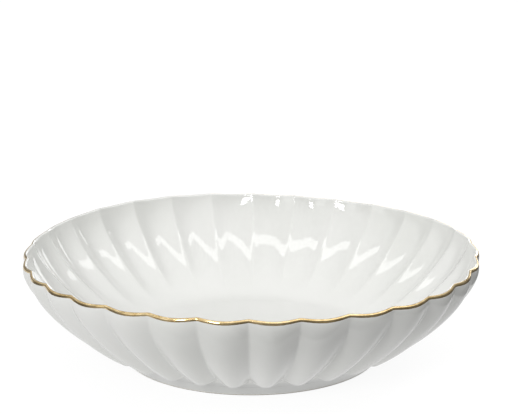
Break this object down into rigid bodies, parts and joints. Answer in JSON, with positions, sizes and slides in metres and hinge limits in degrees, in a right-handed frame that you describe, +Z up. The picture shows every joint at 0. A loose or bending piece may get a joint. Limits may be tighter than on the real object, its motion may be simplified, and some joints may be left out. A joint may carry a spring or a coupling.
{
  "type": "serving bowl",
  "caption": "Shallow round porcelain serving bowl with a ribbed, fluted wall, a scalloped gilt lip and a glazed foot ring with an unglazed ground edge.",
  "frame": {"origin": "centre of the bowl, in the plane of the foot's ground edge that it stands on", "axes": "+Z up along the bowl's axis; a crease between two ribs faces -Y and +Y, a rib crest faces -X and +X"},
  "size_m": [0.2998, 0.2984, 0.0717],
  "materials": {
    "glaze_white": "clear gloss glaze over white porcelain",
    "unglazed_edge": "bare fired porcelain, ground flat, matt",
    "gilding": "bright fired-on gold, slightly worn"
  },
  "bodies": {
    "root": {"bowl_body": "glaze_white", "foot_ring": "glaze_white", "foot_contact_edge": "unglazed_edge", "gilt_rim": "gilding"}
  },
  "joints": []
}
